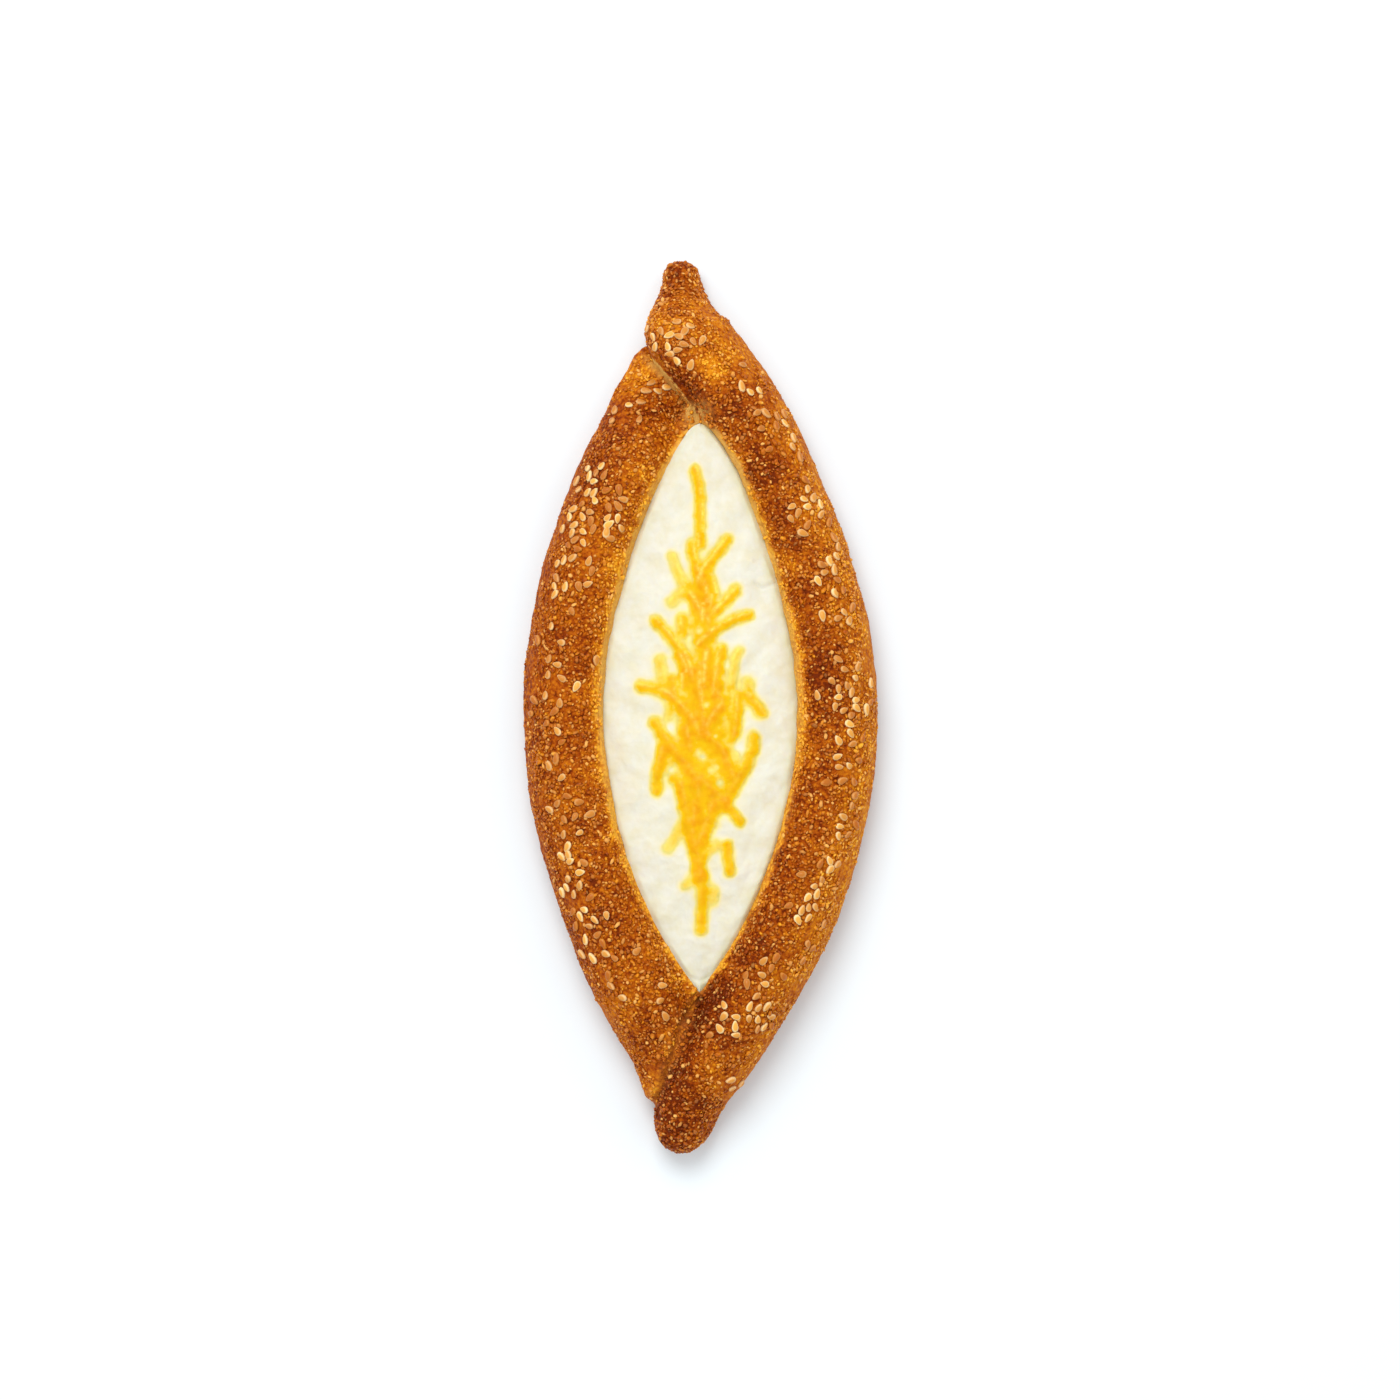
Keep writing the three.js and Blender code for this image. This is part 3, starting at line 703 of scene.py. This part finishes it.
# Melted strips, sunk in the white cheese: how high and how wide they stand, then the line of each in plan
strips = {
    "window": (-21, -68, 22, 72), "step": 0.36, "bed": 0.14, "bareBelow": 0.6, "under": 1.2,
    "trim": (1.4, 0.25), "path": (13, 2),  # cut off each end, points along a line, rounds of smoothing
    "halfWidth": 1.75, "widths": (0.88, 1.1), "soft": 2.6, "halo": (3.4, 0.05), "merge": 0.15,
    # the painted highlight along each strip: where across the strip it runs, how wide it is, and how much a
    # strip on top hides it
    "paintedHighlight": (0.75, 0.58), "highlightCover": 0.7, "fade": (-16, 20, 0.2), "ripple": (1.6, 0.12, 0.3),
    "ragged": ((2.6, 0.4), (1.1, 0.2)),  # length and depth of the unevenness along the edges
    "pools": (  # x, y, half width, half length, how yellow
        (0.5, -9, 8.5, 30, 0.62), (1, 26, 4.5, 16, 0.6), (-0.5, -38, 3, 14, 0.4), (-9.5, -13, 3.5, 7, 0.4),
        (8.5, -17, 3.5, 9, 0.4),
    ),
    "poolHeight": 0.3, "poolRagged": 0.2, "poolEdge": (0.55, 1.1),
    "gaps": (  # x, y, reach
        (-0.2, 21.3, 1), (1.8, 0.7, 0.8), (-8.1, -5.7, 1.2), (4.3, -8, 0.8), (-0.3, -12.6, 1.2),
        (0.8, -13.8, 0.9), (3.4, -17.4, 1), (4.5, -16.5, 0.8), (5.4, -20.9, 1.1), (-8, -17.4, 1.2),
        (10.3, -11.2, 1.3),
    ),
    "gap": (0.7, 0.15),  # how much paler, how much lower
    "kinds": {  # how yellow, how high, the lines
        "deep": (0.76, 0.42, (
            ((-2.5, 46.7), (-2.1, 42.7), (-0.8, 37.9), (0.1, 33.8)),
            ((8.4, 47.7), (4.7, 43), (1.3, 38.6), (-0.1, 34.9)), ((-3.5, 32.1), (-0.1, 27), (2, 23.7)),
            ((0.6, 35), (1.6, 29.8), (1.3, 24.7)), ((14.9, 26), (8.7, 24.3), (3.7, 21.3), (-0.8, 16.9)),
            ((-13.3, 25), (-9.3, 20.9), (-5.5, 16.2), (-3.5, 12.8), (-2.6, 8)),
            ((6.4, 17.5), (5.3, 12.8), (5, 8.8), (4.3, 3.7)), ((2.6, 16.2), (1.9, 10.5), (1.5, 5)),
            ((-6.2, 15.2), (-4.4, 10.5), (-4.5, 5)), ((-1, 12), (-0.8, 6), (-0.1, 2), (0.6, -6.5)),
            ((4.3, 4.5), (6, -0.7)), ((6.4, 0.5), (5.3, -0.7), (2, -5.8), (-0.1, -8.5)),
            ((-17.7, 6.1), (-11.6, 5.1), (-7.6, 2.7), (-4.2, -0.7), (-2.1, -3.8), (-0.5, -8)),
            ((-4.5, -5), (-3, -12)),
            ((-13.3, -3.1), (-9.9, -8.5), (-6.2, -13.9), (-1.4, -19.4), (4, -23.8), (7.4, -26.8)),
            ((0.6, -6.5), (4.7, -10.5), (7.4, -14.6), (8.9, -20.5)),
            ((-8.2, -18.7), (-5.2, -22.1), (-4.8, -26.8), (-3.5, -31.9), (-2.1, -37)),
            ((4, -25.1), (3, -30.2), (1.3, -35.3), (-0.4, -38.7)), ((-2.4, -36), (-1, -42.7), (-0.1, -47.8)),
        )),
        "soft": (0.74, 0.36, (
            ((-1.8, 67.3), (-0.8, 64.2), (0, 58.6), (0.1, 52.5), (0.1, 44)),
            ((10.8, 33.5), (7.4, 29.8), (3.7, 26)), ((-4.8, 26), (-4.8, 19.6)),
            ((10.8, 4.4), (10.8, -0.7), (9.8, -8.5)), ((12.1, 4.4), (15.5, 0.7), (17.9, -2.7)),
            ((15.2, -7.1), (14.9, -11.9), (12.5, -17.3), (9.1, -23.1), (5.3, -28.5)),
            ((-9.5, -10), (-12, -18.3), (-12, -24.5)), ((-1.4, -20), (-0.8, -25.1), (-1.4, -33)),
            ((7, -26.5), (10.4, -30.9), (12.1, -32.9)), ((7.4, -37), (8, -42.7), (8.4, -47.1)),
            ((0.9, -45), (0.6, -54.6), (0.3, -63.1)), ((-8, 9), (-7.4, 2)),
        )),
        "thin": (0.42, 0.28, (
            ((-8.2, 43.3), (-6.2, 37.6), (-3.5, 33.2)), ((-8.9, 28.4), (-5.9, 31.1), (-2.1, 34.9)),
            ((3, 36.5), (4, 31.5), (3, 27)), ((-11.3, 14.5), (-10.8, 10.5), (-10.3, 7)),
            ((11.5, 16.9), (9.6, 12.8), (9.2, 9), (8.7, 4.4)), ((8.1, 5.4), (8.7, -3.1), (8.4, -9.9)),
            ((13.4, 7.6), (13.6, 5.8)), ((-4.8, -32.3), (-6.9, -36.3), (-9.6, -40.4)),
            ((6, -37.5), (2.6, -39.7), (-0.1, -43)), ((-0.1, -46.1), (-4.8, -50.2)),
            ((3.7, -50.5), (3.7, -54.2)), ((-8, 2), (-9, -4)),
        )),
    },
}
filling = {
    "halfWidth": 27.3, "halfLength": 79.5, "overlap": 0.2, "edge": 20, "dome": 1.6, "bottom": 7.3,
    "lump": 0.45, "lumpAcross": 2.9, "lumpAlong": 3.7, "swayAcross": 4.3, "swayAlong": 6.1, "sway": 1.3,
    "grid": (120, 330), "roll": (0.8, 1.8), "rollLeft": 0.4,  # round edge: drop, reach, share on the left
    "edgeShadeReach": 4, "edgeShade": (0.5, 1.2),  # left, right: strength of a painted shade along the cheese's edge under the rim, stronger on the right
    "fissures": (
        ((15.3, 34.5), (17, 33.2), (21.2, 34.5)), ((18.6, 42), (20.4, 37.5), (21.7, 34.5)),
        ((-3.4, -75), (-0.1, -76), (3, -75.1)),
    ),
    "fissure": (0.5, 0.55),  # depth, reach
    "curds": ((6.5, 0.3), (2.8, 0.25), (1.3, 0.1)),
}


def cheeseTop(x, y):
    crown = (1 - (x / filling["halfWidth"]) ** 2) * (1 - (y / filling["halfLength"]) ** 2)
    rowsAcross = x / filling["lumpAcross"] + filling["sway"] * np.sin(y / filling["swayAlong"])
    rowsAlong = y / filling["lumpAlong"] + filling["sway"] * np.sin(x / filling["swayAcross"])
    lumps = filling["lump"] * np.sin(rowsAcross) * np.sin(rowsAlong)
    return filling["edge"] + filling["dome"] * crown + lumps


def curds(x, y):
    return sum(height * noise.noise(Vector((x, y, 0)) / size) for size, height in filling["curds"])


# a line through the points with its corners rounded off, ended short of a strip's round end
def softLine(points):
    points = np.array(points, float)
    steps = np.hypot(*np.diff(points, axis=0).T)
    at = np.concatenate([[0], np.cumsum(steps)]) / steps.sum()
    longest, most = strips["trim"]
    trim = min(longest / steps.sum(), most)
    count, rounds = strips["path"]
    share = np.linspace(trim, 1 - trim, count)
    path = np.stack([np.interp(share, at, points[:, 0]), np.interp(share, at, points[:, 1])], 1)
    for _ in range(rounds):
        path[1:-1] = (path[:-2] + 2 * path[1:-1] + path[2:]) / 4
    return path


stripLines = [
    (rich, height, softLine(line), draw.uniform(*strips["widths"]))
    for rich, height, lines in (strips["kinds"][kind] for kind in ("thin", "soft", "deep"))
    for line in lines
]


# height of the melted cheese over the white cheese, how yellow it is, and a painted highlight along the upper
# side of each strip
def meltedLayer(x, y):
    ragged = sum(
        depth * np.array([noise.noise(Vector((px, py, size)) / size) for px, py in zip(x, y)])
        for size, depth in strips["ragged"]
    )
    bare, paintedHighlight, stack, merge = np.ones(len(x)), np.zeros(len(x)), np.ones(len(x)), strips["merge"]
    for midX, midY, halfWidth, halfLength, yellow in strips["pools"]:
        away = np.hypot((x - midX) / halfWidth, (y - midY) / halfLength) + strips["poolRagged"] * ragged
        pool = 1 - smoothStep(away, *strips["poolEdge"])
        bare = bare * (1 - yellow * pool)
        stack = np.maximum(stack, np.exp(strips["poolHeight"] * pool / merge))
    haloReach, haloYellow = strips["halo"]
    middle, reach = strips["paintedHighlight"]
    for yellow, high, line, wide in stripLines:
        away, side = lineOffset(x, y, line)
        away = np.maximum(away / wide + ragged, 0)
        here = np.exp(-((away / strips["halfWidth"]) ** strips["soft"]))
        bare = bare * (1 - yellow * here) * (1 - haloYellow * bell(away / haloReach))
        own = here * bell((side / wide - middle) / reach)
        paintedHighlight = np.maximum(paintedHighlight * (1 - strips["highlightCover"] * here), own)
        stack = stack + np.exp(here * high / merge) - 1
    height = merge * np.log(stack)  # strips run into each other
    paler, lower = strips["gap"]
    for gapX, gapY, reach in strips["gaps"]:
        gap = bell(np.hypot(x - gapX, y - gapY) / reach + ragged)
        height, bare = height - lower * gap, bare + (1 - bare) * paler * gap
    fadeLow, fadeHigh, least = strips["fade"]  # the strips run together towards the bottom, and the painted highlight fades there
    paintedHighlight = paintedHighlight * (least + (1 - least) * smoothStep(y, fadeLow, fadeHigh))
    return height - strips["bed"], 1 - bare, paintedHighlight


def makeStrips():
    low, high = np.array(strips["window"][:2]), np.array(strips["window"][2:])
    across, along = ((high - low) / strips["step"]).astype(int)
    bm = gridMesh(int(across), int(along))
    plan = np.array([vert.co[:2] for vert in bm.verts]) / 2 + 0.5
    x, y = (low + plan * (high - low)).T
    height, _, _ = meltedLayer(x, y)
    size, ripple, full = strips["ripple"]
    for vert, placeX, placeY, lift in zip(bm.verts, x, y, height):
        vert.tag = lift < -strips["bareBelow"] * strips["bed"]
        wave = ripple * noise.noise(Vector((placeX, placeY, 3)) / size)
        lift += wave * float(smoothStep(lift, -strips["bed"], full))
        under = float(cheeseTop(placeX, placeY)) + curds(placeX, placeY)
        vert.co = Vector((placeX, placeY, under + lift)) * mm
    bare = [face for face in bm.faces if all(vert.tag for vert in face.verts)]
    bmesh.ops.delete(bm, geom=bare, context="FACES")
    made = bmesh.ops.extrude_face_region(bm, geom=bm.faces[:], use_keep_orig=True)["geom"]
    for vert in vertsOf(made):
        vert.co.z = (float(cheeseTop(vert.co.x / mm, vert.co.y / mm)) - strips["under"]) * mm
    heap = solidFrom("meltedStrips", bm)
    shadeSmooth(heap.data)
    x, y, _ = coordinates(heap.data).T / mm
    _, rich, paintedHighlight = meltedLayer(x, y)
    setAttribute(heap.data, "rich", rich)
    setAttribute(heap.data, "paintedHighlight", paintedHighlight)
    print("strips:", len(heap.data.polygons), "faces")
    return heap


def makeFilling():
    bm = gridMesh(*filling["grid"])
    low, high = dough["opening"]["ends"]
    drop, reach = filling["roll"]
    depth, wide = filling["fissure"]
    for vert in bm.verts:
        y = (low + high) / 2 + vert.co.y * (high - low) / 2
        half = float(openingHalf(y, vert.co.x)) + filling["overlap"]
        x = vert.co.x * half
        inside = min(half - abs(x), y - low, high - y)
        roundEdge = (1 - min(inside / reach, 1)) ** 2 * drop * (1 if x > 0 else filling["rollLeft"])
        groove = sum(depth * float(bell(lineDistance(x, y, line) / wide)) for line in filling["fissures"])
        fade = float(smoothStep(inside, 0, reach))
        bare = filling["edge"] + (float(cheeseTop(x, y)) + curds(x, y) - groove - filling["edge"]) * fade
        vert.co = Vector((x, y, bare - roundEdge)) * mm
    rim = [edge for edge in bm.edges if edge.is_boundary]
    lowered = bmesh.ops.extrude_edge_only(bm, edges=rim)["geom"]
    for vert in vertsOf(lowered):
        vert.co.z = filling["bottom"] * mm
    bmesh.ops.holes_fill(bm, edges=[edge for edge in bm.edges if edge.is_boundary], sides=0)
    bmesh.ops.remove_doubles(bm, verts=bm.verts[:], dist=tiny)
    cheese = solidFrom("whiteCheese", bm)
    shadeSmooth(cheese.data)
    x, y, _ = coordinates(cheese.data).T / mm
    _, rich, _ = meltedLayer(x, y)
    setAttribute(cheese.data, "rich", rich)
    # painted shade along the cheese's edge under the rim, stronger on the right
    left, right = filling["edgeShade"]
    edge = 1 - smoothStep(-openingDistance(x, y), 0, filling["edgeShadeReach"])
    setAttribute(cheese.data, "edge", edge * np.where(x > 0, right, left))
    print("filling:", len(cheese.data.polygons), "faces")
    return cheese


heap = makeStrips()
cheese = makeFilling()


# Materials
def newMaterial(name):
    material = bpy.data.materials.new(name)
    material.use_nodes = True
    tree = material.node_tree
    return material, tree, tree.nodes["Principled BSDF"]


def addNode(tree, kind, **settings):
    node = tree.nodes.new("ShaderNode" + kind)
    for key, value in settings.items():
        setattr(node, key, value)
    return node


# a colour, a number or another node's output
def feed(tree, socket, value):
    if isinstance(value, tuple):
        socket.default_value = (*value, 1)
    elif isinstance(value, (int, float)):
        socket.default_value = value
    else:
        tree.links.new(value, socket)


def attributeNode(tree, name):
    return addNode(tree, "Attribute", attribute_name=name).outputs["Fac"]


def textureNode(tree, kind, size):
    node = addNode(tree, kind)
    tree.links.new(addNode(tree, "TexCoord").outputs["Object"], node.inputs["Vector"])
    node.inputs["Scale"].default_value = 1 / (size * mm)
    return node


def noiseNode(tree, size, detail, roughness=0.55):
    node = textureNode(tree, "TexNoise", size)
    node.inputs["Detail"].default_value = detail
    node.inputs["Roughness"].default_value = roughness
    return node.outputs["Fac"]


def mathNode(tree, operation, *values, clamp=False):
    node = addNode(tree, "Math", operation=operation, use_clamp=clamp)
    for socket, value in zip(node.inputs, values):
        feed(tree, socket, value)
    return node.outputs[0]


def rampNode(tree, value, stops):
    node = addNode(tree, "ValToRGB")
    ramp = node.color_ramp
    while len(ramp.elements) < len(stops):
        ramp.elements.new(0.5)
    for element, (at, colour) in zip(ramp.elements, stops):
        element.position = at
        element.color = (*colour, 1) if isinstance(colour, tuple) else (colour, colour, colour, 1)
    tree.links.new(value, node.inputs["Fac"])
    return node.outputs["Color"]


def mixNode(tree, share, a, b):
    node = addNode(tree, "Mix", data_type="RGBA")
    factor, colourA, colourB = (node.inputs[i] for i in (0, 6, 7))
    for socket, value in ((factor, share), (colourA, a), (colourB, b)):
        feed(tree, socket, value)
    return node.outputs[2]


def bumpNode(tree, height, distance, strength):
    node = addNode(tree, "Bump")
    node.inputs["Strength"].default_value = strength
    node.inputs["Distance"].default_value = distance * mm
    tree.links.new(height, node.inputs["Height"])
    return node.outputs["Normal"]


def setSkin(tree, skin, base, finish):
    feed(tree, skin.inputs["Base Color"], base)
    skin.inputs["Roughness"].default_value = finish["roughness"]
    skin.inputs["Specular IOR Level"].default_value = finish["shine"]
    if "soft" in finish:
        weight, radius, reach = finish["soft"]
        skin.inputs["Subsurface Weight"].default_value = weight
        skin.inputs["Subsurface Radius"].default_value = radius
        skin.inputs["Subsurface Scale"].default_value = reach * mm


# sRGB 0-255 to linear
def colour(*levels):
    shares = [level / 255 for level in levels]
    return tuple(c / 12.92 if c <= 0.04045 else ((c + 0.055) / 1.055) ** 2.4 for c in shares)


# spots are size, detail, strength; ramps are pairs of value and result
crustFinish = {
    "stops": (
        (0.0, colour(242, 175, 46)), (0.22, colour(215, 132, 17)), (0.45, colour(190, 103, 12)),
        (0.65, colour(169, 82, 9)), (0.82, colour(146, 60, 3)), (1.0, colour(108, 38, 5)),
    ),
    "pale": colour(217, 168, 86), "spots": ((7, 3, 0.7), (1.1, 2, 1.4)),
    # cell: size, strength and level of a painted shade in the grooves between the crumbs, where the bump
    # lowers the surface
    "cell": (1.2, 0.4, 0.3), "crumb": ((0.1, 0.45), (0.7, 1.0)), "grit": (0.6, 2), "bump": (0.5, 0.9),
    "roughness": 0.55, "shine": 0.04,
}
seedFinish = {
    "rim": colour(252, 230, 172), "heart": colour(232, 168, 70), "rimShare": ((0.6, 0.0), (0.95, 1.0)),
    "toastedRim": colour(203, 127, 40), "toastedHeart": colour(174, 92, 15), "roughness": 0.34, "shine": 0.24,
}
grainFinish = {
    # light: a pale colour for a few grains, partly pale crumbs and partly painted highlights for their glint
    "light": colour(238, 177, 92), "paler": 0.08, "roughness": 0.25, "shine": 0.12,
    "paleAndGlintShare": ((0.0, 0.0), (0.5, 0.04), (0.83, 0.22), (0.94, 0.6), (1.0, 1.0)),
}
cheeseFinish = {
    "cream": (0.35, colour(216, 212, 188)), "white": (0.6, colour(219, 218, 204)), "curd": (5, 4, 0.6),
    # edge: the colour of the painted shade along the cheese's edge
    "edge": colour(200, 198, 150), "edgeShadeSpots": (4, 2), "tint": ((0.0, 0.0), (0.12, 1.0)),
    "yellow": (
        (0.0, colour(221, 216, 198)), (0.25, colour(232, 214, 120)),
        (0.6, colour(228, 186, 6)), (1.0, colour(224, 158, 0)),
    ),
    "grit": (3, 4), "bump": (0.6, 0.4), "roughness": 0.55, "shine": 0.15, "soft": (0.4, (1, 0.8, 0.5), 1.5),
}
stripFinish = {
    # the colour of the painted highlight along the strips, and the noise that breaks it up
    "wave": (2.2, 3), "waveShare": (0.9, 0.53), "paintedHighlight": colour(240, 224, 112), "breaks": (2, 2),
    "broken": ((0.36, 0.08), (0.62, 0.8)), "roughness": 0.4, "shine": 0.08, "soft": (0.7, (1, 0.7, 0.2), 1.5),
}


def bakedAndShadedShare(tree):
    dark = attributeNode(tree, "bakeAndShade")
    for size, detail, strength in crustFinish["spots"]:
        spots = mathNode(tree, "MULTIPLY_ADD", noiseNode(tree, size, detail), strength, -strength / 2)
        dark = mathNode(tree, "ADD", dark, spots)
    return dark


def crustMaterial():
    material, tree, skin = newMaterial("bakedCrust")
    size, strength, level = crustFinish["cell"]
    cell = textureNode(tree, "TexVoronoi", size).outputs["Distance"]
    crumb = rampNode(tree, attributeNode(tree, "crumb"), crustFinish["crumb"])
    gap = mathNode(tree, "MULTIPLY_ADD", cell, strength, -level * strength)  # painted shade in the bump's grooves between the golden crumbs
    dark = mathNode(tree, "ADD", bakedAndShadedShare(tree), mathNode(tree, "MULTIPLY", gap, crumb), clamp=True)
    bakedAndShaded = rampNode(tree, dark, crustFinish["stops"])
    setSkin(tree, skin, mixNode(tree, attributeNode(tree, "pale"), bakedAndShaded, crustFinish["pale"]), crustFinish)
    grit = mathNode(tree, "ADD", cell, noiseNode(tree, *crustFinish["grit"]))
    bumps = bumpNode(tree, mathNode(tree, "MULTIPLY", grit, crumb), *crustFinish["bump"])
    bumps.node.invert = True
    tree.links.new(bumps, skin.inputs["Normal"])
    return material


def grainMaterial():
    material, tree, skin = newMaterial("toastedGrain")
    # a few grains take the pale colour: partly pale crumbs, partly painted highlights
    light = rampNode(tree, attributeNode(tree, "tone"), grainFinish["paleAndGlintShare"])
    dark = mathNode(tree, "ADD", bakedAndShadedShare(tree), -grainFinish["paler"], clamp=True)
    toasted = rampNode(tree, dark, crustFinish["stops"])
    setSkin(tree, skin, mixNode(tree, light, toasted, grainFinish["light"]), grainFinish)
    return material


def seedMaterial():
    material, tree, skin = newMaterial("sesameSeed")
    rim = rampNode(tree, attributeNode(tree, "rim"), seedFinish["rimShare"])
    pale = mixNode(tree, rim, seedFinish["heart"], seedFinish["rim"])
    toasted = mixNode(tree, rim, seedFinish["toastedHeart"], seedFinish["toastedRim"])
    setSkin(tree, skin, mixNode(tree, attributeNode(tree, "tone"), toasted, pale), seedFinish)
    return material


def cheeseMaterial():
    material, tree, skin = newMaterial("softWhiteCheese")
    curd = noiseNode(tree, *cheeseFinish["curd"])
    curd = rampNode(tree, curd, (cheeseFinish["cream"], cheeseFinish["white"]))
    # painted shade along the cheese's edge, broken up by noise
    spots = noiseNode(tree, *cheeseFinish["edgeShadeSpots"])
    edge = mathNode(tree, "MULTIPLY", attributeNode(tree, "edge"), spots, clamp=True)
    curd = mixNode(tree, edge, curd, cheeseFinish["edge"])
    rich = attributeNode(tree, "rich")
    tint = rampNode(tree, rich, cheeseFinish["tint"])
    setSkin(tree, skin, mixNode(tree, tint, curd, rampNode(tree, rich, cheeseFinish["yellow"])), cheeseFinish)
    bumps = bumpNode(tree, noiseNode(tree, *cheeseFinish["grit"]), *cheeseFinish["bump"])
    tree.links.new(bumps, skin.inputs["Normal"])
    return material


def stripMaterial():
    material, tree, skin = newMaterial("meltedYellowCheese")
    wave = mathNode(tree, "MULTIPLY_ADD", noiseNode(tree, *stripFinish["wave"]), *stripFinish["waveShare"])
    rich = mathNode(tree, "MULTIPLY", attributeNode(tree, "rich"), wave, clamp=True)
    broken = rampNode(tree, noiseNode(tree, *stripFinish["breaks"]), stripFinish["broken"])
    # painted highlight along each strip's upper side
    paintedHighlight = mathNode(tree, "MULTIPLY", attributeNode(tree, "paintedHighlight"), broken, clamp=True)
    yellow = rampNode(tree, rich, cheeseFinish["yellow"])
    setSkin(tree, skin, mixNode(tree, paintedHighlight, yellow, stripFinish["paintedHighlight"]), stripFinish)
    return material


for piece, node, slot, material in (
    (crust, "dough", "crust", crustMaterial()),
    (coating, "dough", "crust", grainMaterial()),
    (sesame, "dough", None, seedMaterial()),
    (cheese, "white_cheese", "white_cheese", cheeseMaterial()),
    (heap, "grated_cheese", "grated_cheese", stripMaterial()),
):
    piece.data.materials.append(material)
    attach(piece, "root")
    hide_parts(node)
print("materials done")

# Pale floor, soft light from the top of the picture, camera straight above
studio = {
    "floor": 1.5, "floorDrop": 0.2, "floorColour": (0.79, 0.855, 0.888),
    "floorFinish": {"roughness": 0.9, "shine": 0.1}, "world": 0.93,
    "key": {"way": (-0.29, 0.957), "rise": 60, "far": 1.3, "size": 0.7, "power": 9.2},
    "camera": {"midY": 2.1, "high": 1600, "level": 11, "field": 392, "sensor": 36, "clip": (0.1, 10)},
}


def makeStudio():
    bm = gridMesh(2, 2, studio["floor"])
    bmesh.ops.translate(bm, verts=bm.verts[:], vec=(0, 0, -studio["floorDrop"] * mm))
    floor = objectFrom("studioFloor", bm)
    material, tree, skin = newMaterial("paleFloor")
    setSkin(tree, skin, studio["floorColour"], studio["floorFinish"])
    floor.data.materials.append(material)

    world = bpy.data.worlds.new("softRoom")
    world.use_nodes = True
    room = world.node_tree.nodes["Background"].inputs
    room["Color"].default_value = (1, 1, 1, 1)
    room["Strength"].default_value = studio["world"]
    scene.world = world

    key = studio["key"]
    lamp = bpy.data.lights.new("windowLight", "AREA")
    lamp.shape, lamp.size, lamp.energy = "DISK", key["size"], key["power"]
    light = bpy.data.objects.new("windowLight", lamp)
    rise = math.radians(key["rise"])
    wayX, wayY = key["way"]
    towards = Vector((wayX * math.cos(rise), wayY * math.cos(rise), math.sin(rise))).normalized()
    light.location = towards * key["far"]
    light.rotation_euler = towards.to_track_quat("Z", "Y").to_euler()
    scene.collection.objects.link(light)

    view = studio["camera"]
    lens = bpy.data.cameras.new("overheadCamera")
    lens.sensor_width, lens.lens = view["sensor"], view["sensor"] * view["high"] / view["field"]
    lens.clip_start, lens.clip_end = view["clip"]
    camera = bpy.data.objects.new("overheadCamera", lens)
    camera.location = (0, view["midY"] * mm, (view["high"] + view["level"]) * mm)
    scene.collection.objects.link(camera)
    scene.camera = camera
    scene.view_settings.view_transform = "Standard"


makeStudio()
print("studio done")
